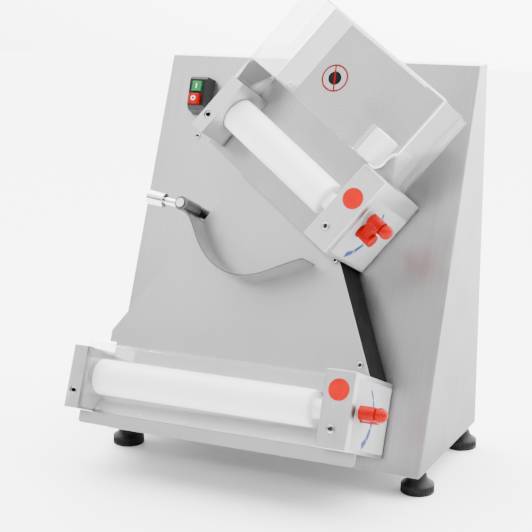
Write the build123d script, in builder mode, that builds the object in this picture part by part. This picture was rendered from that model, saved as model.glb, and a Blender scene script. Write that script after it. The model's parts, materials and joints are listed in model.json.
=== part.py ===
from build123d import *
import os
from math import atan2, cos, degrees, hypot, radians, sin, tan

# Bench dough sheeter: two pairs of rollers on a leaning steel casing, millimetres, +Z up

os.makedirs("parts", exist_ok=True)

# Casing
CASING_WIDTH = 440.0
CASING_DEPTH = 232.0
CASING_TOP = 512.0  # height of the top face above the bench
FLOOR_GAP = 30.0  # underside of the casing above the bench
PANEL_LEAN = 22.6  # degrees from the vertical
SHEET = 1.5
FOLD = 2.0  # outer radius of the casing's folds
COVER_GAP = 0.3
BASE_SHEET = 2.0

# Feet
FOOT_RADIUS = 21.0
FOOT_RIM = 11.0
FOOT_INSET_X = 13.0
FOOT_INSET_FRONT = 35.0
FOOT_INSET_REAR = 20.0
STUD_RADIUS = 5.0

# Roller pairs: a runs along the rollers, b up the panel, h out of the panel
UPPER_TILT = 35.5  # degrees that the upper pair drops to the right
UPPER_ROLLER = 172.0
LOWER_ROLLER = 298.0
UPPER_LEFT = -72.819063  # left end of the upper pair, across the panel
UPPER_DROP = 95.510235  # roller line at that end, down from the panel's top edge
LOWER_START = (-208.0, 62.0)
ROLLER_RADIUS = 22.5
ROLLER_ROUND = 4.0
NIP = 3.0  # gap between the rollers at the middle of the adjustment
REAR_AXIS = 47.0
JOURNAL_RADIUS = 12.0
JOURNAL_BORE = 9.0
FIT = 0.05  # radial clearance of running fits
CLEAR = 0.3  # clearance between pieces that pass each other

# End housings
HOUSING_WALL = 16.5  # from the front roller's surface to the front of the end housings
LEFT_WIDTH = 19.0
LEFT_INNER_WALL = 5.0
LEFT_OUTER_WALL = 3.0
RIGHT_WIDTH = 37.0
RIGHT_INNER_WALL = 6.0
SIDE_PLATE = 4.0
END_WALL = 10.0
FRONT_PLATE = 4.0
END_BOTTOM = -45.0
LEFT_TOP = 34.0
UPPER_RIGHT_TOP = 64.0
LOWER_RIGHT_TOP = 47.0
POCKET_GAP = 0.7  # from the gear tips to the pocket wall
GUIDE_HEIGHT = 36.0  # height of the bearing blocks
GUIDE_RIGHT = 12.0
ROLLER_GAP_LEFT = 2.0
NECK = 22.0
UPPER_RECESS = 6.0  # how far the upper front roller reaches left of its gap
LOWER_RECESS = 0.0

# Thickness adjustment
THROW = 2.45  # eccentricity of the cams
GAP_TRAVEL = 2.25  # travel of the front roller either way
LEVER_SWING = 66.5  # degrees either way that give this travel
LEVER_MIDDLE = 84.5  # degrees from b towards h, lever at the middle of its swing
UPPER_LEVER_TURN = -50.0
LOWER_LEVER_TURN = 0.0
ROD_RADIUS = 6.0
CAM_RADIUS = 8.6
LEVER_RADIUS = 24.0
HUB_RADIUS = 8.5
KNOB_RADIUS = 8.8
KNOB_REACH = 31.0

# Gears with long teeth, so that they stay in mesh while the gap changes
TEETH = 12
ADDENDUM = 2.3
DEDENDUM = 5.2
TIP_HALF_ANGLE = 2.5
ROOT_HALF_ANGLE = 5.5
GEAR_WIDTH = 8.0

# Drive
SHAFT_RADIUS = 8.0
BUSH_RADIUS = 11.0
ROLLER_PULLEY = 19.0
MOTOR_PULLEY = 15.0
BELT = 2.5
BELT_WIDTH = 8.0
MOTOR_RADIUS = 27.0
MOTOR_LENGTH = 92.0
GEARBOX_HALF = 26.0
GEARBOX_LENGTH = 42.0
UPPER_MOTOR_DROP = 38.0
LOWER_MOTOR_DROP = 54.0

# Chutes
CHUTE_DROP = 5.0  # from the middle of the nip down to the back of the chutes
CHUTE_CHEEK = 3.0
CHUTE_END_GAP = 1.0
LIP_HEIGHT = 95.0
LIP_END = -61.0

# Balance arm
PIVOT_ACROSS = -107.0
PIVOT_DROP = 230.091276  # down from the panel's top edge
PIVOT_RADIUS = 4.0
ARM_HUB_RADIUS = 9.0
ARM_GAP = 2.5  # from the chute to the arm
ARM_WIDTH = 41.0
ARM_SHEET = 2.0
COUNTER_ANGLE = 172.0
COUNTER_RADIUS = 9.0
COUNTER_LENGTH = 24.0
COUNTER_REACH = 58.0

# Hopper over the upper pair
HOPPER_TOP = 180.0
HOPPER_STEP = 4.0  # guard's back face in front of the end housings
ACRYLIC = 3.5

# Cable gland
GLAND_PLACE = (150.0, 75.0)  # across the back and above the bench
GLAND_HOLE = 8.0
GLAND_BORE = 4.0
GLAND_REACH = 15.0

# Switch
SWITCH_ACROSS = -161.0
SWITCH_DROP = 60.091276  # down from the panel's top edge
SWITCH_SIZE = (26.0, 50.0, 24.0)
BUTTON_TRAVEL = 3.0

# Derived places
CENTRES = 2 * ROLLER_RADIUS + NIP
FRONT_AXIS = REAR_AXIS + CENTRES
GEAR_TIP = CENTRES / 2 + ADDENDUM
GEAR_ROOT = CENTRES / 2 - DEDENDUM
POCKET = GEAR_TIP + POCKET_GAP
END_DEPTH = FRONT_AXIS + ROLLER_RADIUS + HOUSING_WALL
HOPPER_FRONT = END_DEPTH + HOPPER_STEP
CHUTE_HEIGHT = REAR_AXIS + CENTRES / 2 - CHUTE_DROP
ARM_LOW = CHUTE_HEIGHT + SHEET + ARM_GAP
ARM_HIGH = ARM_LOW + ARM_WIDTH
lean = radians(PANEL_LEAN)
panel_rise = CASING_TOP - FLOOR_GAP
panel_run = panel_rise * tan(lean)
panel_length = panel_rise / cos(lean)
PIVOT = (PIVOT_ACROSS, panel_length - PIVOT_DROP)
SWITCH_CENTRE = (SWITCH_ACROSS, panel_length - SWITCH_DROP)
upper_length = LEFT_WIDTH + ROLLER_GAP_LEFT + UPPER_ROLLER + NECK + RIGHT_WIDTH
lower_length = LEFT_WIDTH + ROLLER_GAP_LEFT + LOWER_ROLLER + NECK + RIGHT_WIDTH
tilt = radians(UPPER_TILT)
upper_line = panel_length - UPPER_DROP
UPPER_START = (
    UPPER_LEFT * cos(tilt) - upper_line * sin(tilt), UPPER_LEFT * sin(tilt) + upper_line * cos(tilt)
)
hopper_right = UPPER_START[0] + upper_length - 10.0
far_right = hopper_right * cos(tilt) + (UPPER_START[1] + HOPPER_TOP) * sin(tilt)
low_front = (LOWER_START[1] + END_BOTTOM) * sin(lean) - END_DEPTH * cos(lean)
far_left = -(CASING_WIDTH / 2 - FOOT_INSET_X + FOOT_RADIUS)
CENTRE_X = (far_right + far_left) / 2
CENTRE_Y = (CASING_DEPTH + GLAND_REACH + low_front) / 2

panel = Plane(
    origin=(-CENTRE_X, -CENTRE_Y, FLOOR_GAP), x_dir=(1, 0, 0), z_dir=(0, -cos(lean), sin(lean))
)
bench = Plane(origin=(-CENTRE_X, -CENTRE_Y, 0))


def module_plane(start, turn):
    """Plane of a roller pair: x along the rollers, y up the panel, z out of the panel."""
    along = panel.x_dir * cos(turn) - panel.y_dir * sin(turn)
    up = panel.x_dir * sin(turn) + panel.y_dir * cos(turn)
    origin = panel.origin + along * start[0] + up * start[1]
    return Plane(origin=origin, x_dir=along, z_dir=panel.z_dir)


upper = module_plane(UPPER_START, tilt)
lower = module_plane(LOWER_START, 0)


def across(module, a):
    """Plane square to the rollers at distance a from the left end: x is b, y is h."""
    return Plane(origin=module.from_local_coords((a, 0, 0)), x_dir=module.y_dir, z_dir=module.x_dir)


def save(part, name):
    part.label = name
    export_step(part, f"parts/{name}.step")


def box_between(plane, low, high):
    """Box from the low corner to the high corner, in the coordinates of a plane."""
    with BuildPart() as block:
        with BuildSketch(plane.offset(low[2])):
            with Locations(((low[0] + high[0]) / 2, (low[1] + high[1]) / 2)):
                Rectangle(high[0] - low[0], high[1] - low[1])
        extrude(amount=high[2] - low[2])
    return block.part


def rod_between(module, centre, radius, start, end):
    """Round bar along the rollers, centre given as (b, h)."""
    with BuildPart() as bar:
        with BuildSketch(across(module, start)):
            with Locations(centre):
                Circle(radius)
        extrude(amount=end - start)
    return bar.part


# ---------------------------------------------------------------- casing
casing_side = Plane(origin=bench.origin, x_dir=(0, 1, 0), z_dir=(1, 0, 0))


def casing_profile(inset):
    """Side outline of the casing, moved inwards by a sheet thickness."""
    front_shift = inset / cos(lean)
    return [
        (front_shift, FLOOR_GAP),
        (front_shift + panel_run - inset * tan(lean), CASING_TOP - inset),
        (CASING_DEPTH, CASING_TOP - inset),
        (CASING_DEPTH, FLOOR_GAP),
    ]


rear_y = CASING_DEPTH - CENTRE_Y
belt_slot_a = (LEFT_OUTER_WALL + LEFT_WIDTH - LEFT_INNER_WALL) / 2
belt_slot_width = LEFT_WIDTH - LEFT_INNER_WALL - LEFT_OUTER_WALL
with BuildPart() as casing:
    with BuildSketch(casing_side.offset(-CASING_WIDTH / 2)):
        with BuildLine():
            Polyline(*casing_profile(0), close=True)
        make_face()
    extrude(amount=CASING_WIDTH)
    folds = casing.faces().sort_by(Axis.Y)[0].edges() + casing.faces().sort_by(Axis.Z)[-1].edges()
    fillet([e for e in folds if e.center().Z > FLOOR_GAP + 1 and e.center().Y < rear_y - 1], radius=FOLD)
    with BuildSketch(casing_side.offset(-CASING_WIDTH / 2 + SHEET)):
        with BuildLine():
            Polyline(*casing_profile(SHEET), close=True)
        make_face()
    extrude(amount=CASING_WIDTH - 2 * SHEET, mode=Mode.SUBTRACT)
    for module in (upper, lower):
        with BuildSketch(module.offset(-2 * SHEET)):
            with Locations((belt_slot_a, 0)):
                Rectangle(belt_slot_width, 2 * POCKET - 4)
        extrude(amount=3 * SHEET, mode=Mode.SUBTRACT)
save(casing.part, "casing")

inner_half = CASING_WIDTH / 2 - SHEET - COVER_GAP
cover_top = CASING_TOP - SHEET - COVER_GAP
cover_bottom = FLOOR_GAP + BASE_SHEET + COVER_GAP
rear_face = Plane(origin=(-CENTRE_X, CASING_DEPTH - CENTRE_Y, 0), x_dir=(-1, 0, 0), z_dir=(0, 1, 0))
with BuildPart() as rear_cover:
    with BuildSketch(rear_face.offset(-SHEET)):
        with Locations((0, (cover_top + cover_bottom) / 2)):
            Rectangle(2 * inner_half, cover_top - cover_bottom)
        with Locations((0, 130)):
            with GridLocations(90, 12, 3, 6):
                SlotOverall(70, 4, mode=Mode.SUBTRACT)
        with Locations(GLAND_PLACE):
            Circle(GLAND_HOLE, mode=Mode.SUBTRACT)
    extrude(amount=SHEET)
save(rear_cover.part, "rear_cover")

base_front = (SHEET + CLEAR) / cos(lean) + BASE_SHEET * tan(lean)
with BuildPart() as base_plate:
    with BuildSketch(bench.offset(FLOOR_GAP)):
        with Locations((0, (base_front + CASING_DEPTH) / 2)):
            Rectangle(2 * inner_half, CASING_DEPTH - base_front)
    extrude(amount=BASE_SHEET)
    with BuildSketch(bench.offset(FLOOR_GAP + BASE_SHEET)):
        with Locations((0, CASING_DEPTH - SHEET - CLEAR - 10)):
            Rectangle(2 * inner_half - 40, 1.5)
    extrude(amount=20)
save(base_plate.part, "base_plate")

foot_x = CASING_WIDTH / 2 - FOOT_INSET_X
foot_front = FOOT_INSET_FRONT
foot_rear = CASING_DEPTH - FOOT_INSET_REAR
foot_places = [(x, y) for x in (-foot_x, foot_x) for y in (foot_front, foot_rear)]
foot_side = Plane(origin=bench.origin, x_dir=(1, 0, 0), z_dir=(0, -1, 0))
with BuildPart() as feet:
    for x, y in foot_places:
        foot_middle = foot_side.origin + Vector(x, y, 0)
        with BuildSketch(Plane(origin=foot_middle, x_dir=(1, 0, 0), z_dir=(0, -1, 0))):
            with BuildLine():
                Polyline(
                    (0, 0), (FOOT_RADIUS - 2, 0), (FOOT_RADIUS, 2), (FOOT_RADIUS, FOOT_RIM),
                    (STUD_RADIUS + 6, FLOOR_GAP - 7), (0, FLOOR_GAP - 7), close=True,
                )
            make_face()
        revolve(axis=Axis(origin=foot_side.origin + Vector(x, y, 0), direction=(0, 0, 1)))
save(feet.part, "feet")

with BuildPart() as foot_studs:
    with BuildSketch(bench.offset(FLOOR_GAP - 7)):
        with Locations(*foot_places):
            Circle(STUD_RADIUS)
    extrude(amount=7)
save(foot_studs.part, "foot_studs")

with BuildPart() as cable_gland:
    with BuildSketch(rear_face.offset(-SHEET - 6)):
        with Locations(GLAND_PLACE):
            RegularPolygon(12, 6)
    extrude(amount=6)
    with BuildSketch(rear_face.offset(-SHEET)):
        with Locations(GLAND_PLACE):
            Circle(GLAND_HOLE - CLEAR)
    extrude(amount=SHEET)
    with BuildSketch(rear_face):
        with Locations(GLAND_PLACE):
            RegularPolygon(12, 6)
    extrude(amount=7)
    with BuildSketch(rear_face.offset(7)):
        with Locations(GLAND_PLACE):
            Circle(9)
    extrude(amount=GLAND_REACH - 7)
    with BuildSketch(rear_face.offset(-SHEET - 6)):
        with Locations(GLAND_PLACE):
            Circle(GLAND_BORE)
    extrude(amount=SHEET + 6 + GLAND_REACH, mode=Mode.SUBTRACT)
save(cable_gland.part, "cable_gland")

control_low = (60.0, 120.0, FLOOR_GAP + BASE_SHEET)
control_high = (170.0, 190.0, FLOOR_GAP + BASE_SHEET + 45.0)
control_box = box_between(bench, control_low, control_high)
save(control_box, "control_box")


# ---------------------------------------------------------------- roller pairs
def gear_outline(plane, centre, turn, bore, width):
    """Gear with long narrow teeth, centre given as (b, h)."""
    with BuildPart() as gear:
        with BuildSketch(plane):
            with Locations(centre):
                Circle(GEAR_ROOT)
            for tooth in range(TEETH):
                middle = radians(turn + tooth * 360 / TEETH)
                corners = []
                for radius, half in (
                    (GEAR_ROOT - 1, -ROOT_HALF_ANGLE), (GEAR_TIP, -TIP_HALF_ANGLE),
                    (GEAR_TIP, TIP_HALF_ANGLE), (GEAR_ROOT - 1, ROOT_HALF_ANGLE),
                ):
                    angle = middle + radians(half)
                    corners.append((centre[0] + radius * cos(angle), centre[1] + radius * sin(angle)))
                with BuildLine():
                    Polyline(*corners, close=True)
                make_face()
            with Locations(centre):
                Circle(bore, mode=Mode.SUBTRACT)
        extrude(amount=width)
    return gear.part


def left_block(module, recess):
    """Left end housing: open to the casing for the belt, with a guide for the bearing block."""
    slot = (ROLLER_RADIUS if recess > ROLLER_GAP_LEFT else JOURNAL_RADIUS) + 2 * CLEAR
    front_wall = FRONT_AXIS + GUIDE_HEIGHT / 2 + GAP_TRAVEL + 2 * CLEAR
    with BuildPart() as block:
        with BuildSketch(module):
            with Locations((LEFT_WIDTH / 2, (END_BOTTOM + LEFT_TOP) / 2)):
                Rectangle(LEFT_WIDTH, LEFT_TOP - END_BOTTOM)
        extrude(amount=END_DEPTH)
        with BuildSketch(module):
            with Locations((belt_slot_a, 0)):
                Rectangle(belt_slot_width, 2 * POCKET)
        extrude(amount=front_wall, mode=Mode.SUBTRACT)
        with BuildSketch(across(module, LEFT_WIDTH - LEFT_INNER_WALL)):
            with Locations((0, REAR_AXIS)):
                Circle(BUSH_RADIUS)
            with Locations((0, FRONT_AXIS)):
                SlotOverall(2 * (slot + GAP_TRAVEL), 2 * slot, rotation=90)
        extrude(amount=LEFT_INNER_WALL, mode=Mode.SUBTRACT)
        with BuildSketch(across(module, 0)):
            with Locations((0, FRONT_AXIS)):
                Circle(ROD_RADIUS + FIT)
        extrude(amount=LEFT_OUTER_WALL, mode=Mode.SUBTRACT)
        with BuildSketch(module.offset(END_DEPTH)):
            with Locations((LEFT_WIDTH / 2 - 1, -23)):
                Circle(5.2)
        extrude(amount=-6, mode=Mode.SUBTRACT)
    return block.part


def right_block(module, start, top):
    """Right end housing: an open-sided box around the gears."""
    slot = JOURNAL_RADIUS + 2 * CLEAR
    width = RIGHT_WIDTH - SIDE_PLATE
    with BuildPart() as block:
        with BuildSketch(module):
            with Locations((start + width / 2, (END_BOTTOM + top) / 2)):
                Rectangle(width, top - END_BOTTOM)
        extrude(amount=END_DEPTH - FRONT_PLATE)
        with BuildSketch(across(module, start + RIGHT_INNER_WALL)):
            with Locations((0, END_DEPTH / 2)):
                Rectangle(2 * POCKET, END_DEPTH - 2 * END_WALL)
        extrude(amount=width - RIGHT_INNER_WALL, mode=Mode.SUBTRACT)
        with BuildSketch(across(module, start)):
            with Locations((0, REAR_AXIS)):
                Circle(BUSH_RADIUS)
            with Locations((0, FRONT_AXIS)):
                SlotOverall(2 * (slot + GAP_TRAVEL), 2 * slot, rotation=90)
        extrude(amount=RIGHT_INNER_WALL, mode=Mode.SUBTRACT)
    return block.part


def bearing_block(module, inner, outer, journal_end, gap):
    """Sliding block: a bore for the roller journal and a slot for the cam, side by side."""
    low, high = sorted((inner, outer))
    first, last = sorted((journal_end, outer))
    with BuildPart() as block:
        with BuildSketch(across(module, low)):
            with Locations((0, FRONT_AXIS + gap)):
                Rectangle(2 * (POCKET - CLEAR), GUIDE_HEIGHT)
                Circle(JOURNAL_RADIUS + FIT, mode=Mode.SUBTRACT)
        extrude(amount=high - low)
        with BuildSketch(across(module, first)):
            with Locations((0, FRONT_AXIS + gap)):
                Circle(JOURNAL_RADIUS + FIT)
        extrude(amount=last - first)
        with BuildSketch(across(module, first)):
            cam_low = THROW * cos(radians(LEVER_SWING)) - CAM_RADIUS - CLEAR
            cam_high = THROW + CAM_RADIUS + CLEAR
            with Locations(((cam_low + cam_high) / 2, FRONT_AXIS + gap)):
                Rectangle(cam_high - cam_low, 2 * (CAM_RADIUS + CLEAR))
        extrude(amount=last - first, mode=Mode.SUBTRACT)
    return block.part


def pulley(module, centre, radius, bore, start):
    """Flanged belt pulley."""
    with BuildPart() as wheel:
        with BuildSketch(across(module, start)):
            with Locations(centre):
                Circle(radius)
                Circle(bore, mode=Mode.SUBTRACT)
        extrude(amount=BELT_WIDTH + 0.8)
    return wheel.part


def belt_loop(module, motor_drop, start):
    """Flat loop around the motor pulley and the roller pulley."""
    with BuildPart() as belt:
        with BuildSketch(across(module, start)):
            with Locations((0, REAR_AXIS)):
                Circle(ROLLER_PULLEY + CLEAR + BELT)
            with Locations((0, -motor_drop)):
                Circle(MOTOR_PULLEY + CLEAR + BELT)
            make_hull()
            with BuildSketch(across(module, start), mode=Mode.SUBTRACT):
                with Locations((0, REAR_AXIS)):
                    Circle(ROLLER_PULLEY + CLEAR)
                with Locations((0, -motor_drop)):
                    Circle(MOTOR_PULLEY + CLEAR)
                make_hull()
        extrude(amount=BELT_WIDTH)
    return belt.part


def gear_motor(module, motor_drop):
    """Worm gearbox with its mounting foot on the panel, and the motor behind it."""
    face = LEFT_WIDTH + 2
    with BuildPart() as motor:
        with BuildSketch(across(module, face)):
            with Locations((0, -motor_drop)):
                Rectangle(2 * GEARBOX_HALF, 2 * GEARBOX_HALF)
                Circle(SHAFT_RADIUS + FIT, mode=Mode.SUBTRACT)
        extrude(amount=GEARBOX_LENGTH)
        with BuildSketch(across(module, face + GEARBOX_LENGTH)):
            with Locations((0, -motor_drop)):
                Circle(MOTOR_RADIUS)
        extrude(amount=MOTOR_LENGTH)
        with BuildSketch(across(module, face)):
            with Locations((0, -(motor_drop - GEARBOX_HALF + SHEET) / 2)):
                Rectangle(2 * GEARBOX_HALF + 16, motor_drop - GEARBOX_HALF - SHEET)
        extrude(amount=GEARBOX_LENGTH)
    return motor.part


def lever(module, side, angle):
    """Crank handle with a hub, an arm and a ball-ended knob."""
    turn = radians(angle)
    knob = (LEVER_RADIUS * cos(turn), FRONT_AXIS + LEVER_RADIUS * sin(turn))
    middle = (LEVER_RADIUS / 2 * cos(turn), FRONT_AXIS + LEVER_RADIUS / 2 * sin(turn))
    with BuildPart() as handle:
        with BuildSketch(across(module, side + CLEAR)):
            with Locations((0, FRONT_AXIS)):
                Circle(HUB_RADIUS)
        extrude(amount=21)
        with BuildSketch(across(module, side + 6)):
            with Locations(middle):
                SlotCenterToCenter(LEVER_RADIUS, 2 * HUB_RADIUS - 2, rotation=angle)
        extrude(amount=11)
        with BuildSketch(across(module, side + 6)):
            with Locations(knob):
                Circle(HUB_RADIUS)
        extrude(amount=KNOB_REACH - 12)
        with BuildSketch(across(module, side + KNOB_REACH - 7)):
            with Locations(knob):
                Circle(HUB_RADIUS - 2)
        extrude(amount=6)
        ball = across(module, side + KNOB_REACH).from_local_coords((knob[0], knob[1], 0))
        with Locations(ball):
            Sphere(KNOB_RADIUS)
        with BuildSketch(across(module, side)):
            with Locations((0, FRONT_AXIS)):
                Circle(ROD_RADIUS)
        extrude(amount=15, mode=Mode.SUBTRACT)
    return handle.part


def adjuster_rod(module, side, right_start, lever_turn):
    """Rod through the hollow front roller, with a cam near each end."""
    turn = radians(lever_turn)
    cam = (THROW * cos(turn), FRONT_AXIS + THROW * sin(turn))
    with BuildPart() as rod:
        with BuildSketch(across(module, 0.3)):
            with Locations((0, FRONT_AXIS)):
                Circle(ROD_RADIUS)
        extrude(amount=side + 15 - 0.3)
        for start, width in ((LEFT_OUTER_WALL + 0.8, 4.4), (right_start + 21.8, 4.8)):
            with BuildSketch(across(module, start)):
                with Locations(cam):
                    Circle(CAM_RADIUS)
            extrude(amount=width)
    return rod.part


def front_roller(module, length, right_start, gap, recess):
    """Hollow white roller with a journal at each end."""
    left = LEFT_WIDTH + ROLLER_GAP_LEFT - recess
    with BuildPart() as roller:
        with BuildSketch(across(module, left)):
            with Locations((0, FRONT_AXIS + gap)):
                Circle(ROLLER_RADIUS)
        extrude(amount=length + recess)
        fillet(roller.edges().filter_by(GeomType.CIRCLE), radius=ROLLER_ROUND)
        with BuildSketch(across(module, LEFT_OUTER_WALL + 5.9)):
            with Locations((0, FRONT_AXIS + gap)):
                Circle(JOURNAL_RADIUS)
        extrude(amount=right_start + 21.0 - LEFT_OUTER_WALL - 5.9)
        with BuildSketch(across(module, 0)):
            with Locations((0, FRONT_AXIS + gap)):
                Circle(JOURNAL_BORE)
        extrude(amount=right_start + RIGHT_WIDTH, mode=Mode.SUBTRACT)
    return roller.part


def rear_roller(module, length):
    """White roller sleeve pressed on the driven shaft."""
    with BuildPart() as roller:
        with BuildSketch(across(module, LEFT_WIDTH + ROLLER_GAP_LEFT)):
            with Locations((0, REAR_AXIS)):
                Circle(ROLLER_RADIUS)
        extrude(amount=length)
        fillet(roller.edges().filter_by(GeomType.CIRCLE), radius=ROLLER_ROUND)
        with BuildSketch(across(module, LEFT_WIDTH)):
            with Locations((0, REAR_AXIS)):
                Circle(SHAFT_RADIUS)
        extrude(amount=length + NECK, mode=Mode.SUBTRACT)
    return roller.part


def bush(module, start, length):
    with BuildPart() as ring:
        with BuildSketch(across(module, start)):
            with Locations((0, REAR_AXIS)):
                Circle(BUSH_RADIUS)
                Circle(SHAFT_RADIUS + FIT, mode=Mode.SUBTRACT)
        extrude(amount=length)
    return ring.part


def build_pair(name, module, length, right_top, motor_drop, lever_turn, recess):
    """Everything between and inside the end housings of one roller pair."""
    right_start = LEFT_WIDTH + ROLLER_GAP_LEFT + length + NECK
    side = right_start + RIGHT_WIDTH
    gap = GAP_TRAVEL * lever_turn / LEVER_SWING
    gears = across(module, right_start + RIGHT_INNER_WALL + 0.6)
    pulley_start = LEFT_OUTER_WALL + 1.1

    save(left_block(module, recess), f"{name}_left_housing")
    save(right_block(module, right_start, right_top), f"{name}_right_housing")
    front = box_between(
        module, (right_start, END_BOTTOM, END_DEPTH - FRONT_PLATE), (side, right_top, END_DEPTH)
    )
    save(front, f"{name}_front_plate")
    with BuildPart() as side_plate:
        with BuildSketch(across(module, side - SIDE_PLATE)):
            with Locations(((END_BOTTOM + right_top) / 2, (END_DEPTH - FRONT_PLATE) / 2)):
                Rectangle(right_top - END_BOTTOM, END_DEPTH - FRONT_PLATE)
            with Locations((0, FRONT_AXIS)):
                Circle(ROD_RADIUS + FIT, mode=Mode.SUBTRACT)
        extrude(amount=SIDE_PLATE)
    save(side_plate.part, f"{name}_side_plate")

    save(rear_roller(module, length), f"{name}_rear_roller")
    shaft_end = right_start + 31
    save(rod_between(module, (0, REAR_AXIS), SHAFT_RADIUS, pulley_start, shaft_end), f"{name}_drive_shaft")
    save(gear_outline(gears, (0, REAR_AXIS), 90, SHAFT_RADIUS, GEAR_WIDTH), f"{name}_rear_gear")
    save(pulley(module, (0, REAR_AXIS), ROLLER_PULLEY, SHAFT_RADIUS, pulley_start), f"{name}_roller_pulley")

    save(front_roller(module, length, right_start, gap, recess), f"{name}_front_roller")
    mesh_turn = 270 + 180 / TEETH
    front_gear = gear_outline(gears, (0, FRONT_AXIS + gap), mesh_turn, JOURNAL_RADIUS, GEAR_WIDTH)
    save(front_gear, f"{name}_front_gear")

    left_inner = LEFT_WIDTH - LEFT_INNER_WALL - CLEAR
    left_outer = LEFT_OUTER_WALL + CLEAR
    left_journal = LEFT_OUTER_WALL + 5.7
    right_inner = right_start + RIGHT_INNER_WALL + 9.2
    right_outer = right_inner + GUIDE_RIGHT
    blocks = Compound(
        children=[
            bearing_block(module, left_inner, left_outer, left_journal, gap),
            bearing_block(module, right_inner, right_outer, (right_inner + right_outer) / 2, gap),
        ]
    )
    save(blocks, f"{name}_bearing_blocks")
    save(adjuster_rod(module, side, right_start, lever_turn), f"{name}_adjuster_rod")
    save(lever(module, side, LEVER_MIDDLE + lever_turn), f"{name}_lever")

    save(belt_loop(module, motor_drop, pulley_start + 0.4), f"{name}_belt")
    save(gear_motor(module, motor_drop), f"{name}_gear_motor")
    with BuildPart() as motor_wheel:
        with BuildSketch(across(module, pulley_start)):
            with Locations((0, -motor_drop)):
                Circle(MOTOR_PULLEY)
        extrude(amount=BELT_WIDTH + 0.8)
        with BuildSketch(across(module, pulley_start)):
            with Locations((0, -motor_drop)):
                Circle(SHAFT_RADIUS)
        extrude(amount=LEFT_WIDTH + 30 - pulley_start)
    save(motor_wheel.part, f"{name}_motor_pulley")
    return [
        bush(module, LEFT_WIDTH - LEFT_INNER_WALL, LEFT_INNER_WALL),
        bush(module, right_start, RIGHT_INNER_WALL),
    ]


bushes = build_pair(
    "upper", upper, UPPER_ROLLER, UPPER_RIGHT_TOP, UPPER_MOTOR_DROP, UPPER_LEVER_TURN, UPPER_RECESS
)
bushes += build_pair(
    "lower", lower, LOWER_ROLLER, LOWER_RIGHT_TOP, LOWER_MOTOR_DROP, LOWER_LEVER_TURN, LOWER_RECESS
)
save(Compound(children=bushes), "shaft_bushes")

upper_right = upper_length - RIGHT_WIDTH
lower_right = lower_length - RIGHT_WIDTH

# ---------------------------------------------------------------- exits below the rollers
with BuildPart() as upper_exit:
    with BuildSketch(upper.offset(CHUTE_HEIGHT + SHEET + CLEAR)):
        with Locations(((LEFT_WIDTH + upper_right) / 2, -29.6)):
            Rectangle(upper_right - LEFT_WIDTH - 2 * CLEAR, 31.2)
        with Locations((upper_length / 2 - 5, -49.6)):
            Rectangle(upper_length - 6, 8.8)
    extrude(amount=SHEET)
save(upper_exit.part, "upper_exit_plate")

ramp_top = (-0.65 * ROLLER_RADIUS, REAR_AXIS + 0.785 * ROLLER_RADIUS)
ramp_end = (END_BOTTOM - 1.0, LIP_HEIGHT)
ramp_angle = atan2(ramp_end[1] - ramp_top[1], ramp_end[0] - ramp_top[0])
ramp_step = (SHEET * sin(ramp_angle), -SHEET * cos(ramp_angle))
with BuildPart() as lower_exit:
    with BuildSketch(across(lower, LEFT_WIDTH + CLEAR)):
        with BuildLine():
            Polyline(
                ramp_top, ramp_end, (ramp_end[0] + ramp_step[0], ramp_end[1] + ramp_step[1]),
                (ramp_top[0] + ramp_step[0], ramp_top[1] + ramp_step[1]), close=True,
            )
        make_face()
    extrude(amount=lower_right - LEFT_WIDTH - 2 * CLEAR)
    with BuildSketch(lower.offset(LIP_HEIGHT)):
        with Locations((lower_length / 2 + 0.5, (LIP_END + END_BOTTOM - 0.5) / 2)):
            Rectangle(lower_length - 1, END_BOTTOM - 0.5 - LIP_END)
    extrude(amount=SHEET)
    lip_corners = lower_exit.edges().filter_by(lambda e: abs(e.tangent_at(0).dot(lower.z_dir)) > 0.99)
    fillet(lip_corners.sort_by(Axis(lower.origin, lower.y_dir))[:2], radius=5)
save(lower_exit.part, "lower_exit_ramp")

# ---------------------------------------------------------------- chute between the pairs
CHUTE_BOTTOM = LOWER_START[1] + LOWER_RIGHT_TOP + CHUTE_END_GAP
tongue_bottom = LOWER_START[1] + 22.0
tongue_left = LOWER_START[0] + LEFT_WIDTH + CLEAR
tongue_right = LOWER_START[0] + lower_right - CLEAR


def turned(u, v):
    """Panel coordinates of a point given in the axes of the upper pair."""
    return (u * cos(tilt) + v * sin(tilt), v * cos(tilt) - u * sin(tilt))


chute_top_v = UPPER_START[1] - 25.0
chute_step_v = UPPER_START[1] + END_BOTTOM - 1.0
chute_right_u = UPPER_START[0] + upper_right - 2.0
chute_corner = turned(UPPER_START[0] + upper_length - 7.5, chute_step_v)
chute_high = turned(UPPER_START[0] + 65.0, chute_top_v)
left_high = turned(UPPER_START[0] + 87.0, chute_top_v - 5.0)
left_low = (LOWER_START[0] + 9.5, CHUTE_BOTTOM + 15.0)
right_low = (LOWER_START[0] + lower_length - 8.0, CHUTE_BOTTOM)
chute_outline = [
    (tongue_left, CHUTE_BOTTOM), (left_low[0], CHUTE_BOTTOM), left_low,
    chute_high, turned(chute_right_u, chute_top_v),
    turned(chute_right_u, chute_step_v), chute_corner, right_low,
    (tongue_right, CHUTE_BOTTOM), (tongue_right, tongue_bottom), (tongue_left, tongue_bottom),
]
with BuildPart() as slide_plate:
    with BuildSketch(panel.offset(CHUTE_HEIGHT)):
        with BuildLine():
            Polyline(*chute_outline, close=True)
        make_face()
    extrude(amount=SHEET)
save(slide_plate.part, "slide_plate")


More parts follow.
